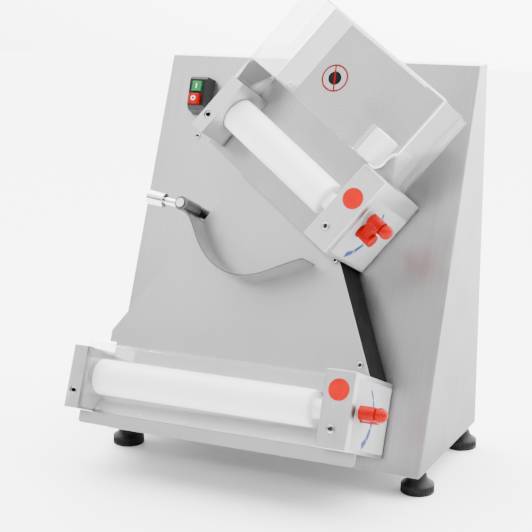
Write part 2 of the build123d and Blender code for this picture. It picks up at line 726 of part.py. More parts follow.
def cheek(first, last, inward):
    """Strip standing on the panel along one edge of the slide plate."""
    length = hypot(last[0] - first[0], last[1] - first[1])
    side = (
        -(last[1] - first[1]) / length * CHUTE_CHEEK * inward,
        (last[0] - first[0]) / length * CHUTE_CHEEK * inward,
    )
    with BuildPart() as strip:
        with BuildSketch(panel):
            with BuildLine():
                Polyline(
                    first, last, (last[0] + side[0], last[1] + side[1]),
                    (first[0] + side[0], first[1] + side[1]), close=True,
                )
            make_face()
        extrude(amount=CHUTE_HEIGHT)
    return strip.part


slide_sides = Compound(
    children=[
        cheek(left_low, left_high, -1),
        cheek((right_low[0] - 1, right_low[1] + 2), (chute_corner[0] + 1, chute_corner[1] - 2), 1),
    ]
)
save(slide_sides, "slide_sides")

# ---------------------------------------------------------------- balance arm
with BuildPart() as pivot_post:
    with BuildSketch(panel):
        with Locations(PIVOT):
            Circle(PIVOT_RADIUS + 5)
    extrude(amount=ARM_LOW - CLEAR)
    with BuildSketch(panel.offset(ARM_LOW - CLEAR)):
        with Locations(PIVOT):
            Circle(PIVOT_RADIUS)
    extrude(amount=ARM_HIGH - ARM_LOW + 2 * CLEAR)
    with BuildSketch(panel.offset(ARM_HIGH + CLEAR)):
        with Locations(PIVOT):
            Circle(PIVOT_RADIUS + 1.5)
    extrude(amount=3)
save(pivot_post.part, "pivot_post")

arm_bends = (
    (2.0, 2 - ARM_HUB_RADIUS), (14, -16), (26, -35), (56, -70.5), (100, -83.2), (145, -68.5), (177, -55)
)
arm_line = [(PIVOT[0] + x, PIVOT[1] + y) for x, y in arm_bends]
with BuildPart() as balance_arm:
    with BuildSketch(panel.offset(ARM_LOW)):
        with Locations(PIVOT):
            Circle(ARM_HUB_RADIUS)
        with BuildLine():
            Spline(*arm_line)
        trace(line_width=ARM_SHEET)
    extrude(amount=ARM_HIGH - ARM_LOW)
    with BuildSketch(panel.offset(ARM_LOW)):
        with Locations(PIVOT):
            Circle(PIVOT_RADIUS + FIT)
    extrude(amount=ARM_HIGH - ARM_LOW, mode=Mode.SUBTRACT)
save(balance_arm.part, "balance_arm")

counter = radians(COUNTER_ANGLE)
counter_dir = panel.x_dir * cos(counter) + panel.y_dir * sin(counter)
counter_start = panel.from_local_coords((PIVOT[0], PIVOT[1], (ARM_LOW + ARM_HIGH) / 2 + 2))
with BuildPart() as counterweight:
    with BuildSketch(Plane(origin=counter_start + counter_dir * ARM_HUB_RADIUS, z_dir=counter_dir)):
        Circle(5)
    extrude(amount=COUNTER_REACH - COUNTER_LENGTH - ARM_HUB_RADIUS)
    weight_start = counter_start + counter_dir * (COUNTER_REACH - COUNTER_LENGTH)
    with BuildSketch(Plane(origin=weight_start, z_dir=counter_dir)):
        Circle(COUNTER_RADIUS)
    extrude(amount=COUNTER_LENGTH)
    chamfer(counterweight.faces().sort_by(Axis(counter_start, counter_dir))[-1].edges(), 1)
save(counterweight.part, "counterweight")

# ---------------------------------------------------------------- hopper of the upper pair
CHEEK_A = 2.0
wall_left = CHEEK_A + 3.5 + CLEAR
chute_left = wall_left + ACRYLIC + CLEAR
wall_right = upper_length - 10.0 - ACRYLIC
with BuildPart() as hopper_cheek:
    with BuildSketch(across(upper, CHEEK_A)):
        with Locations(((LEFT_TOP + 66) / 2, END_DEPTH / 2)):
            Rectangle(66 - LEFT_TOP, END_DEPTH)
    extrude(amount=3.5)
save(hopper_cheek.part, "hopper_cheek")

with BuildPart() as hopper_chute:
    with BuildSketch(upper.offset(CHUTE_HEIGHT)):
        with BuildLine():
            Polyline(
                (chute_left, HOPPER_TOP + 2), (chute_left, LEFT_TOP + CLEAR),
                (LEFT_WIDTH + 8, LEFT_TOP + CLEAR), (LEFT_WIDTH + 8, 15),
                (upper_right - CLEAR, 15), (upper_right - CLEAR, UPPER_RIGHT_TOP + CLEAR),
                (wall_right - CLEAR, UPPER_RIGHT_TOP + CLEAR),
                (wall_right - CLEAR, HOPPER_TOP + 2), close=True,
            )
        make_face()
    extrude(amount=SHEET)
    for a in (chute_left + 14, 150.0):
        with BuildSketch(upper):
            with Locations((a, 88)):
                Rectangle(SHEET, 36)
        extrude(amount=CHUTE_HEIGHT)
save(hopper_chute.part, "hopper_chute")

with BuildPart() as hopper_guard:
    with BuildSketch(upper.offset(HOPPER_FRONT)):
        with BuildLine():
            Polyline(
                (wall_left, 67), (wall_left, HOPPER_TOP), (wall_right + ACRYLIC, HOPPER_TOP),
                (wall_right + ACRYLIC, 98), (wall_right - 9, 67), close=True,
            )
        make_face()
    extrude(amount=ACRYLIC)
    with BuildSketch(across(upper, wall_left)):
        with BuildLine():
            Polyline(
                (LEFT_TOP + 4, END_DEPTH - 40), (LEFT_TOP + 4, END_DEPTH - 4), (67, HOPPER_FRONT + ACRYLIC),
                (HOPPER_TOP, HOPPER_FRONT + ACRYLIC), (HOPPER_TOP, 66), (67, 66), close=True,
            )
        make_face()
    extrude(amount=ACRYLIC)
    with BuildSketch(across(upper, wall_right)):
        with BuildLine():
            Polyline(
                (UPPER_RIGHT_TOP + CLEAR, 48), (UPPER_RIGHT_TOP + CLEAR, 88), (98, HOPPER_FRONT + ACRYLIC),
                (HOPPER_TOP, HOPPER_FRONT + ACRYLIC), (HOPPER_TOP, 48), close=True,
            )
        make_face()
    extrude(amount=ACRYLIC)
save(hopper_guard.part, "hopper_guard")

sensor_low = (upper_right - 36, 66, CHUTE_HEIGHT + SHEET)
sensor_high = (upper_right - 12, 106, CHUTE_HEIGHT + SHEET + 33)
with BuildPart() as guard_sensor:
    add(box_between(upper, sensor_low, sensor_high))
    fillet(guard_sensor.edges().filter_by(lambda e: abs(e.tangent_at(0).dot(upper.z_dir)) > 0.9), radius=4)
save(guard_sensor.part, "guard_sensor")

# ---------------------------------------------------------------- clear cover of the lower pair
cover_top = END_DEPTH - 1
cover_back = cover_top - 3
skirt_back = cover_back - 9
cover_high = ROLLER_RADIUS + 18.5
cover_left = LEFT_WIDTH + CLEAR
cover_right = lower_right - CLEAR
with BuildPart() as roller_cover:
    add(box_between(lower, (cover_left, -42, cover_back), (cover_right, cover_high, cover_top)))
    add(box_between(lower, (cover_left, cover_high - 3, skirt_back), (cover_right, cover_high, cover_back)))
    for start, end in ((cover_left, LEFT_WIDTH + 1.8), (lower_right - 2.3, cover_right)):
        add(box_between(lower, (start, -42, skirt_back), (end, cover_high - 3, cover_back)))
save(roller_cover.part, "roller_cover")

# ---------------------------------------------------------------- switch
switch_w, switch_l, switch_h = SWITCH_SIZE
switch_side = Plane(
    origin=panel.from_local_coords((SWITCH_CENTRE[0] - switch_w / 2, SWITCH_CENTRE[1], 0)),
    x_dir=panel.y_dir, z_dir=panel.x_dir,
)
green_place = (SWITCH_CENTRE[0] - 1, SWITCH_CENTRE[1] + 9)
red_place = (SWITCH_CENTRE[0] - 1, SWITCH_CENTRE[1] - 9)
with BuildPart() as switch_housing:
    with BuildSketch(switch_side):
        with BuildLine():
            Polyline(
                (-switch_l / 2, 0), (-switch_l / 2 + 3, switch_h - 8), (-switch_l / 2 + 8, switch_h - 3),
                (switch_l / 2 - 6, switch_h), (switch_l / 2 - 2, switch_h - 2),
                (switch_l / 2, 0), close=True,
            )
        make_face()
    extrude(amount=switch_w)
    with BuildSketch(panel.offset(switch_h)):
        with Locations(green_place, red_place):
            Rectangle(14 + 2 * CLEAR, 14 + 2 * CLEAR)
    extrude(amount=-12, mode=Mode.SUBTRACT)
save(switch_housing.part, "switch_housing")

for button, place, proud in (("start_button", green_place, 1.5), ("stop_button", red_place, 5.0)):
    with BuildPart() as cap:
        with BuildSketch(panel.offset(switch_h - 12 + BUTTON_TRAVEL + CLEAR)):
            with Locations(place):
                Rectangle(14, 14)
        extrude(amount=12 - BUTTON_TRAVEL - CLEAR + proud)
        fillet(cap.faces().sort_by(Axis(panel.origin, panel.z_dir))[-1].edges(), radius=1)
    save(cap.part, button)

# ---------------------------------------------------------------- fasteners and markers
def socket_screw(plane, place, radius, height):
    """Cap screw head with a hexagon socket, seated on a plane."""
    with BuildPart() as head:
        with BuildSketch(plane):
            with Locations(place):
                Circle(radius)
        extrude(amount=height)
        with BuildSketch(plane.offset(height)):
            with Locations(place):
                RegularPolygon(radius * 0.5, 6)
        extrude(amount=-height * 0.6, mode=Mode.SUBTRACT)
    return head.part


housing_screws = []
for module, length in ((upper, upper_length), (lower, lower_length)):
    housing_screws.append(socket_screw(module.offset(END_DEPTH - 6), (LEFT_WIDTH / 2 - 1, -23), 5, 5))
    housing_screws.append(socket_screw(module.offset(END_DEPTH), (length - RIGHT_WIDTH + 16, -22), 5, 1.5))
for x in (-1, 1):
    for z in (60, (60 + CASING_TOP - 32) / 2, CASING_TOP - 32):
        place = (x * (inner_half - 12), z)
        housing_screws.append(socket_screw(rear_face, place, 4.5, 2.5))
housing_screws.append(socket_screw(upper.offset(CHUTE_HEIGHT + SHEET), (chute_left + 24, 72), 4, 2))
housing_screws.append(socket_screw(panel, (-160, panel_length - 114.091276), 3.5, 2))
exit_face = CHUTE_HEIGHT + 2 * SHEET + CLEAR
housing_screws.append(socket_screw(upper.offset(exit_face), (upper_length - 9.5, END_BOTTOM - 5), 3, 2))
chute_face = CHUTE_HEIGHT + SHEET
for a, b, radius in ((lower_length - 22, LOWER_RIGHT_TOP + 13, 4), (25, 41, 2.5), (25, 28, 2.5)):
    housing_screws.append(socket_screw(lower.offset(chute_face), (a, b), radius, 1.5))
save(Compound(children=housing_screws), "screws")

red_markers = []
for module, length in ((upper, upper_length), (lower, lower_length)):
    with BuildPart() as dot:
        with BuildSketch(module.offset(END_DEPTH)):
            with Locations((length - RIGHT_WIDTH + 18.5, 24)):
                Circle(13)
        extrude(amount=0.4)
    red_markers.append(dot.part)
save(Compound(children=red_markers), "red_markers")

scale_labels = []
for module, length, top in ((upper, upper_length, UPPER_RIGHT_TOP), (lower, lower_length, LOWER_RIGHT_TOP)):
    with BuildPart() as label:
        with BuildSketch(across(module, length)):
            with Locations((0, 62)):
                Rectangle(82, 116)
            with Locations((0, FRONT_AXIS)):
                Circle(HUB_RADIUS + 1, mode=Mode.SUBTRACT)
        extrude(amount=0.2)
    scale_labels.append(label.part)
save(Compound(children=scale_labels), "scale_labels")
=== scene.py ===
import json
from math import cos, pi, radians, sin, tau

import bmesh
import bpy
from mathutils import Matrix, Vector


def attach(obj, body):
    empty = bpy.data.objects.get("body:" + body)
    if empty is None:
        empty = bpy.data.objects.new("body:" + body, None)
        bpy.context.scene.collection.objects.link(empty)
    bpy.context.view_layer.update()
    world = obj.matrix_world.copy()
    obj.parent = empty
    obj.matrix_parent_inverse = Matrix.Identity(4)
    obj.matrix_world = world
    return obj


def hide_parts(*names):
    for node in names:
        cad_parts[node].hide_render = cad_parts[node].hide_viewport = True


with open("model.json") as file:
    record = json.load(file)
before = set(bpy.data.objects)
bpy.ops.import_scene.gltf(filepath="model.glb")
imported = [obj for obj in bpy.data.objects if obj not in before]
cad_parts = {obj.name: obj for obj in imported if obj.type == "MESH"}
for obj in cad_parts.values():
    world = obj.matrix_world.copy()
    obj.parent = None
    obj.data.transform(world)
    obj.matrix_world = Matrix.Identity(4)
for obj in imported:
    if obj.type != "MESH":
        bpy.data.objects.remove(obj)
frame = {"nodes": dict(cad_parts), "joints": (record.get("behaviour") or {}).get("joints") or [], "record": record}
nodes = frame["nodes"]
joints = {j["name"]: j for j in frame["joints"]}
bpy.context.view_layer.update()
print("frame loaded:", len(nodes), "nodes")

bodyOf = {}
for bodyName, members in frame["record"]["behaviour"]["bodies"].items():
    for member in members:
        bodyOf[member] = bodyName


def span(node, axis):
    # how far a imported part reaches, down and up an axis
    reach = [v.co.dot(axis) for v in nodes[node].data.vertices]
    return min(reach), max(reach)


def rollerFrame(side):
    # a runs along the rollers, b up the panel and h out of it, from the left end on the panel
    a = Vector(joints[side + "_rear_spin"]["axis"]).normalized()
    h = Vector(joints[side + "_gap_slide"]["axis"]).normalized()
    b = h.cross(a)
    origin = a * span(side + "_left_housing", a)[0]
    origin += b * Vector(joints[side + "_rear_spin"]["pos_m"]).dot(b)
    origin += h * span(side + "_left_housing", h)[0]
    place = Matrix((a, b, h)).transposed().to_4x4()
    place.translation = origin
    return place


upper = rollerFrame("upper")
lower = rollerFrame("lower")
outward = upper.col[2].to_3d()  # normal of the leaning panel


def inFrame(place, node):
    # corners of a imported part's box, measured along a frame's own axes
    back = place.inverted()
    points = [back @ v.co for v in nodes[node].data.vertices]
    low = Vector([min(p[i] for p in points) for i in range(3)])
    high = Vector([max(p[i] for p in points) for i in range(3)])
    return low, high


def addNode(tree, kind, inputs=None, **settings):
    node = tree.nodes.new(kind)
    for key, value in settings.items():
        setattr(node, key, value)
    for key, value in (inputs or {}).items():
        if isinstance(value, bpy.types.NodeSocket):
            tree.links.new(value, node.inputs[key])
        else:
            node.inputs[key].default_value = value
    return node


def newGroup(name, inputs, outputs):
    # a shader group whose sockets are all plain numbers
    tree = bpy.data.node_groups.new(name, "ShaderNodeTree")
    for label, value in inputs.items():
        socket = tree.interface.new_socket(label, in_out="INPUT", socket_type="NodeSocketFloat")
        socket.default_value = value
    for label in outputs:
        tree.interface.new_socket(label, in_out="OUTPUT", socket_type="NodeSocketFloat")
    return tree, tree.nodes.new("NodeGroupInput"), tree.nodes.new("NodeGroupOutput")


def mathNode(tree, operation, first, second=0.0, third=0.0):
    node = tree.nodes.new("ShaderNodeMath")
    node.operation = operation
    for index, value in enumerate((first, second, third)):
        if isinstance(value, bpy.types.NodeSocket):
            tree.links.new(value, node.inputs[index])
        else:
            node.inputs[index].default_value = value
    return node.outputs[0]


# sideShadeLow, sideShadeHigh and sideShadeTop fade the painted shade on sideways faces with height
brushAndShadeLook = dict(
    lineDetail=4.0, lineRoughness=0.65, cloudScale=7.0, cloudDetail=3.0, cloudRoughness=0.5,
    sideways=0.75, sideShadeLow=0.05, sideShadeHigh=0.5, sideShadeTop=0.45,
)


def brushAndSideShadeGroup():
    # fine parallel lines left by the polishing belt, turned about the panel's normal;
    # Side is painted shade: 1 at the foot of the faces that look left or right, and less towards their top
    tree, given, result = newGroup(
        "brushAndSideShade", {"Fineness": 900.0, "Stretch": 9.0, "Turn": 0.0}, ("Line", "Cloud", "Side")
    )
    where = addNode(tree, "ShaderNodeTexCoord")
    turned = addNode(
        tree, "ShaderNodeVectorRotate",
        {"Vector": where.outputs["Object"], "Axis": tuple(outward),
         "Angle": given.outputs["Turn"]},
        rotation_type="AXIS_ANGLE",
    )
    lines = []
    for order in (("Fineness", "Stretch", "Stretch"), ("Stretch", "Fineness", "Stretch")):
        scale = tree.nodes.new("ShaderNodeCombineXYZ")
        for index, label in enumerate(order):
            tree.links.new(given.outputs[label], scale.inputs[index])
        spread = addNode(
            tree, "ShaderNodeVectorMath", {0: turned.outputs[0], 1: scale.outputs[0]},
            operation="MULTIPLY",
        )
        noise = addNode(
            tree, "ShaderNodeTexNoise",
            {"Vector": spread.outputs[0], "Scale": 1.0, "Detail": brushAndShadeLook["lineDetail"],
             "Roughness": brushAndShadeLook["lineRoughness"]},
        )
        lines.append(noise.outputs["Fac"])
    facing = addNode(tree, "ShaderNodeNewGeometry")
    parts = addNode(tree, "ShaderNodeSeparateXYZ", {0: facing.outputs["True Normal"]})
    lean = mathNode(tree, "ABSOLUTE", parts.outputs["X"])
    sideways = mathNode(tree, "GREATER_THAN", lean, brushAndShadeLook["sideways"])
    line = addNode(
        tree, "ShaderNodeMix", {"Factor": sideways, "A": lines[0], "B": lines[1]},
        data_type="FLOAT",
    )
    cloud = addNode(
        tree, "ShaderNodeTexNoise",
        {"Vector": where.outputs["Object"], "Scale": brushAndShadeLook["cloudScale"],
         "Detail": brushAndShadeLook["cloudDetail"], "Roughness": brushAndShadeLook["cloudRoughness"]},
    )
    tree.links.new(line.outputs[0], result.inputs["Line"])
    tree.links.new(cloud.outputs["Fac"], result.inputs["Cloud"])
    height = addNode(tree, "ShaderNodeSeparateXYZ", {0: where.outputs["Object"]})
    sideShadeFade = addNode(
        tree, "ShaderNodeMapRange",
        {"Value": height.outputs["Z"], "From Min": brushAndShadeLook["sideShadeLow"],
         "From Max": brushAndShadeLook["sideShadeHigh"], "To Min": 1.0, "To Max": brushAndShadeLook["sideShadeTop"]},
    )
    tree.links.new(mathNode(tree, "MULTIPLY", sideways, sideShadeFade.outputs[0]), result.inputs["Side"])
    return tree


handlingLook = dict(detail=6.0, roughness=0.62, distortion=0.7, clean=0.38, smudged=0.72)


def handlingGroup():
    # smudges from wiping and handling
    tree, given, result = newGroup("handling", {"Size": 22.0, "Amount": 0.1}, ("Smudge",))
    where = addNode(tree, "ShaderNodeTexCoord")
    wide = addNode(
        tree, "ShaderNodeTexNoise",
        {"Vector": where.outputs["Object"], "Scale": given.outputs["Size"],
         "Detail": handlingLook["detail"], "Roughness": handlingLook["roughness"],
         "Distortion": handlingLook["distortion"]},
    )
    shaped = addNode(
        tree, "ShaderNodeMapRange",
        {"Value": wide.outputs["Fac"], "From Min": handlingLook["clean"],
         "From Max": handlingLook["smudged"], "To Min": 0.0, "To Max": 1.0},
    )
    smudge = mathNode(tree, "MULTIPLY", shaped.outputs[0], given.outputs["Amount"])
    tree.links.new(smudge, result.inputs["Smudge"])
    return tree


mouldedLook = dict(grainDetail=2.0, mottleDetail=5.0)


def mouldedGroup():
    # the light pebble of a moulded or ground plastic face
    tree, given, result = newGroup(
        "mouldedGrain", {"Scale": 1400.0, "Mottle": 30.0}, ("Height", "Shade")
    )
    where = addNode(tree, "ShaderNodeTexCoord")
    fine = addNode(
        tree, "ShaderNodeTexNoise",
        {"Vector": where.outputs["Object"], "Scale": given.outputs["Scale"],
         "Detail": mouldedLook["grainDetail"]},
    )
    wide = addNode(
        tree, "ShaderNodeTexNoise",
        {"Vector": where.outputs["Object"], "Scale": given.outputs["Mottle"],
         "Detail": mouldedLook["mottleDetail"]},
    )
    tree.links.new(fine.outputs["Fac"], result.inputs["Height"])
    tree.links.new(wide.outputs["Fac"], result.inputs["Shade"])
    return tree


brushAndSideShade = brushAndSideShadeGroup()
handling = handlingGroup()
mouldedGrain = mouldedGroup()


def useGroup(tree, group, **values):
    node = tree.nodes.new("ShaderNodeGroup")
    node.node_tree = group
    for key, value in values.items():
        node.inputs[key].default_value = value
    return node


def blankMaterial(name):
    material = bpy.data.materials.new(name)
    material.use_nodes = True
    tree = material.node_tree
    return material, tree, tree.nodes["Principled BSDF"]


noiseLow, noiseHigh = 0.3, 0.7  # nearly all of a noise's values lie between these


def shadeBetween(tree, factor, dark, light):
    ramp = tree.nodes.new("ShaderNodeValToRGB")
    stops = ramp.color_ramp.elements
    for stop, colour, place in ((stops[0], dark, noiseLow), (stops[1], light, noiseHigh)):
        stop.color = (*colour, 1.0)
        stop.position = place
    tree.links.new(factor, ramp.inputs["Fac"])
    return ramp.outputs["Color"]


def ranged(tree, value, low, high):
    node = addNode(
        tree, "ShaderNodeMapRange",
        {"Value": value, "From Min": noiseLow, "From Max": noiseHigh, "To Min": low,
         "To Max": high},
    )
    return node.outputs[0]


# painted shade in seams and between parts: the steel is darkened as far out as reach, in metres, down to dark
# where they are closed
seamShadeLook = dict(reach=0.01, samples=6, closed=0.15, open=0.95, dark=0.15)
lineDepth = 0.00004  # metres, for the bump of the brushed lines
roughSpread = 0.05  # lines are this much duller or shinier than the sheet


def steelMaterial(name, look):
    material, tree, shader = blankMaterial(name)
    lines = useGroup(
        tree, brushAndSideShade, Fineness=look["fineness"], Stretch=look["stretch"],
        Turn=radians(look["turn"]),
    )
    marks = useGroup(tree, handling, Size=look["smudgeSize"], Amount=look["smudge"])
    colour = shadeBetween(tree, lines.outputs["Line"], look["dark"], look["light"])
    toneAndShade = ranged(tree, lines.outputs["Cloud"], 1.0 - look["cloud"], 1.0)
    # painted shade darkens the faces that look left and right
    toneAndShade = mathNode(tree, "MULTIPLY_ADD", lines.outputs["Side"], -look["side"], toneAndShade)
    # painted shade: ambient occlusion darkens the colour in seams and between parts
    nearby = addNode(
        tree, "ShaderNodeAmbientOcclusion", {"Distance": seamShadeLook["reach"]},
        samples=seamShadeLook["samples"],
    )
    seamShade = addNode(
        tree, "ShaderNodeMapRange",
        {"Value": nearby.outputs["AO"], "From Min": seamShadeLook["closed"],
         "From Max": seamShadeLook["open"], "To Min": seamShadeLook["dark"], "To Max": 1.0},
    )
    toneAndShade = mathNode(tree, "MULTIPLY", toneAndShade, seamShade.outputs[0])
    colour = addNode(
        tree, "ShaderNodeVectorMath", {0: colour, "Scale": toneAndShade}, operation="SCALE"
    ).outputs[0]
    rough = ranged(
        tree, lines.outputs["Line"], look["roughness"] - roughSpread,
        look["roughness"] + roughSpread,
    )
    rough = mathNode(tree, "ADD", rough, marks.outputs["Smudge"])
    bump = addNode(
        tree, "ShaderNodeBump",
        {"Strength": look["grain"], "Distance": lineDepth, "Height": lines.outputs["Line"]},
    )
    tree.links.new(colour, shader.inputs["Base Color"])
    tree.links.new(rough, shader.inputs["Roughness"])
    tree.links.new(bump.outputs[0], shader.inputs["Normal"])
    shader.inputs["Metallic"].default_value = 1.0
    return material


# what all the plastics share, in metres where it is a length
plasticLook = dict(smudgeSize=45.0, grainDepth=0.00005, gloss=0.5, coatRoughness=0.08, glow=0.004)


def plasticMaterial(name, look):
    # gloss, coat and depth are only named in a look that needs them
    material, tree, shader = blankMaterial(name)
    grain = useGroup(tree, mouldedGrain, Scale=look["grainScale"], Mottle=look["mottle"])
    marks = useGroup(tree, handling, Size=plasticLook["smudgeSize"], Amount=look["smudge"])
    colour = shadeBetween(tree, grain.outputs["Shade"], look["dark"], look["light"])
    rough = mathNode(tree, "ADD", marks.outputs["Smudge"], look["roughness"])
    bump = addNode(
        tree, "ShaderNodeBump",
        {"Strength": look["grain"], "Distance": plasticLook["grainDepth"],
         "Height": grain.outputs["Height"]},
    )
    tree.links.new(colour, shader.inputs["Base Color"])
    tree.links.new(rough, shader.inputs["Roughness"])
    tree.links.new(bump.outputs[0], shader.inputs["Normal"])
    shader.inputs["Specular IOR Level"].default_value = look.get("gloss", plasticLook["gloss"])
    shader.inputs["Coat Weight"].default_value = look.get("coat", 0.0)
    shader.inputs["Coat Roughness"].default_value = plasticLook["coatRoughness"]
    shader.inputs["Subsurface Weight"].default_value = look.get("depth", 0.0)
    shader.inputs["Subsurface Radius"].default_value = (plasticLook["glow"],) * 3
    return material


def clearMaterial(name, look):
    material, tree, shader = blankMaterial(name)
    marks = useGroup(tree, handling, Size=look["smudgeSize"], Amount=look["smudge"])
    rough = mathNode(tree, "ADD", marks.outputs["Smudge"], look["roughness"])
    tree.links.new(rough, shader.inputs["Roughness"])
    shader.inputs["Base Color"].default_value = (*look["tint"], 1.0)
    shader.inputs["Transmission Weight"].default_value = look["clear"]
    shader.inputs["Alpha"].default_value = look["alpha"]
    shader.inputs["IOR"].default_value = look["ior"]
    return material


# turn is in degrees, and side is how much painted shade darkens the faces that look left and right
steels = {
    "sheetSteel": dict(
        dark=(0.46, 0.46, 0.465), light=(0.56, 0.56, 0.56), roughness=0.33, grain=0.35, cloud=0.09,
        side=0.80, fineness=1100.0, stretch=10.0, turn=0.0, smudgeSize=9.0, smudge=0.07,
    ),
    # a darker copy of the steel: painted shade for the hopper chute and the upper exit plate
    "hopperSteel": dict(
        dark=(0.33, 0.33, 0.335), light=(0.42, 0.42, 0.42), roughness=0.30, grain=0.35, cloud=0.10,
        side=0.0, fineness=1100.0, stretch=10.0, turn=-35.5, smudgeSize=12.0, smudge=0.06,
    ),
    "chuteSteel": dict(
        dark=(0.49, 0.49, 0.49), light=(0.56, 0.56, 0.56), roughness=0.40, grain=0.25, cloud=0.06,
        side=0.0, fineness=1500.0, stretch=14.0, turn=0.0, smudgeSize=9.0, smudge=0.05,
    ),
    "housingSteel": dict(
        dark=(0.55, 0.55, 0.555), light=(0.66, 0.66, 0.66), roughness=0.36, grain=0.45, cloud=0.04,
        side=0.2, fineness=1400.0, stretch=22.0, turn=0.0, smudgeSize=30.0, smudge=0.06,
    ),
    # a paler, rougher copy of the steel for the hopper cheek; its pale tone is painted light
    "frostedSteel": dict(
        dark=(0.80, 0.80, 0.80), light=(0.88, 0.88, 0.88), roughness=0.58, grain=0.3, cloud=0.03,
        side=0.0, fineness=1400.0, stretch=22.0, turn=0.0, smudgeSize=30.0, smudge=0.06,
    ),
    "brightSteel": dict(
        dark=(0.62, 0.62, 0.63), light=(0.72, 0.72, 0.72), roughness=0.14, grain=0.1, cloud=0.0,
        side=0.0, fineness=2600.0, stretch=60.0, turn=0.0, smudgeSize=60.0, smudge=0.05,
    ),
    # painted shade in screw sockets and a painted contact shadow round the foot of screw heads
    "socketDark": dict(
        dark=(0.035, 0.035, 0.036), light=(0.05, 0.05, 0.052), roughness=0.5, grain=0.2, cloud=0.0,
        side=0.0, fineness=2600.0, stretch=60.0, turn=0.0, smudgeSize=60.0, smudge=0.05,
    ),
    "castAlloy": dict(
        dark=(0.50, 0.51, 0.53), light=(0.62, 0.62, 0.64), roughness=0.4, grain=0.3, cloud=0.1,
        side=0.0, fineness=1800.0, stretch=200.0, turn=0.0, smudgeSize=40.0, smudge=0.1,
    ),
    "bushBronze": dict(
        dark=(0.42, 0.28, 0.11), light=(0.55, 0.38, 0.17), roughness=0.32, grain=0.2, cloud=0.1,
        side=0.0, fineness=2000.0, stretch=90.0, turn=0.0, smudgeSize=60.0, smudge=0.08,
    ),
}
plastics = {
    "rollerWhite": dict(
        dark=(0.90, 0.90, 0.895), light=(0.95, 0.95, 0.945), roughness=0.33, grain=0.12,
        grainScale=900.0, mottle=18.0, smudge=0.08, depth=0.15,
    ),
    "leverRed": dict(
        dark=(0.22, 0.0004, 0.0002), light=(0.29, 0.0006, 0.0004), roughness=0.16, grain=0.08,
        grainScale=700.0, mottle=60.0, smudge=0.08, gloss=0.06,
    ),
    "startGreen": dict(
        dark=(0.0, 0.10, 0.02), light=(0.002, 0.15, 0.035), roughness=0.24, grain=0.06,
        grainScale=900.0, mottle=90.0, smudge=0.06, gloss=0.25,
    ),
    "markerRed": dict(
        dark=(0.34, 0.0015, 0.0008), light=(0.38, 0.002, 0.001), roughness=0.34, grain=0.15,
        gloss=0.05, grainScale=1800.0, mottle=90.0, smudge=0.05,
    ),
    "labelWhite": dict(
        dark=(0.80, 0.81, 0.82), light=(0.88, 0.88, 0.88), roughness=0.42, grain=0.1,
        grainScale=2200.0, mottle=40.0, smudge=0.05,
    ),
    "scaleBlue": dict(
        dark=(0.001, 0.022, 0.13), light=(0.002, 0.032, 0.17), roughness=0.4, grain=0.1,
        grainScale=2200.0, mottle=120.0, smudge=0.04,
    ),
    "signRed": dict(
        dark=(0.14, 0.001, 0.0015), light=(0.18, 0.0015, 0.002), roughness=0.4, grain=0.1,
        gloss=0.05, grainScale=2200.0, mottle=120.0, smudge=0.04,
    ),
    "switchBlack": dict(
        dark=(0.004, 0.004, 0.0042), light=(0.008, 0.008, 0.0085), roughness=0.34, grain=0.3,
        gloss=0.25, grainScale=1600.0, mottle=60.0, smudge=0.1,
    ),
    "footRubber": dict(
        dark=(0.003, 0.003, 0.003), light=(0.007, 0.007, 0.007), roughness=0.55, grain=0.5,
        gloss=0.2, grainScale=1300.0, mottle=70.0, smudge=0.12,
    ),
    "sensorWhite": dict(
        dark=(0.80, 0.80, 0.78), light=(0.88, 0.88, 0.86), roughness=0.36, grain=0.2,
        grainScale=1500.0, mottle=60.0, smudge=0.06, depth=0.1,
    ),
    "guideWhite": dict(
        dark=(0.76, 0.74, 0.68), light=(0.84, 0.82, 0.76), roughness=0.4, grain=0.25,
        grainScale=1300.0, mottle=60.0, smudge=0.1,
    ),
    # black side plates beside the slide plate, partly their own black and partly painted shade for the deep gap
    # there
    "cheekBlack": dict(
        dark=(0.002, 0.002, 0.002), light=(0.004, 0.004, 0.004), roughness=0.45, grain=0.15,
        grainScale=1500.0, mottle=30.0, smudge=0.08, gloss=0.03,
    ),
    "labelGrey": dict(
        dark=(0.30, 0.305, 0.31), light=(0.35, 0.355, 0.36), roughness=0.4, grain=0.1,
        grainScale=2200.0, mottle=40.0, smudge=0.05, gloss=0.3,
    ),
    "signDark": dict(
        dark=(0.004, 0.004, 0.004), light=(0.007, 0.007, 0.007), roughness=0.45, grain=0.1,
        grainScale=2200.0, mottle=120.0, smudge=0.04, gloss=0.05,
    ),
    "armGrey": dict(
        dark=(0.035, 0.035, 0.037), light=(0.06, 0.06, 0.062), roughness=0.3, grain=0.15,
        grainScale=900.0, mottle=25.0, smudge=0.1, coat=0.25,
    ),
    "motorPaint": dict(
        dark=(0.09, 0.10, 0.11), light=(0.13, 0.14, 0.15), roughness=0.45, grain=0.35,
        grainScale=700.0, mottle=40.0, smudge=0.1,
    ),
    "boxGrey": dict(
        dark=(0.36, 0.37, 0.38), light=(0.44, 0.45, 0.46), roughness=0.45, grain=0.3,
        grainScale=1100.0, mottle=50.0, smudge=0.08,
    ),
}
clears = {
    "clearAcrylic": dict(
        tint=(0.93, 0.95, 0.955), ior=1.49, roughness=0.03, smudgeSize=26.0, smudge=0.06, clear=0.9,
        alpha=0.26,
    ),
    "hazyAcrylic": dict(
        tint=(0.90, 0.91, 0.915), ior=1.49, roughness=0.07, smudgeSize=20.0, smudge=0.10, clear=0.8,
        alpha=0.24,
    ),
    # paler, less clear acrylic: a painted highlight on the edges that gather light
    "acrylicEdge": dict(
        tint=(0.95, 0.97, 0.975), ior=1.49, roughness=0.18, smudgeSize=60.0, smudge=0.08, clear=0.2,
        alpha=0.85,
    ),
}

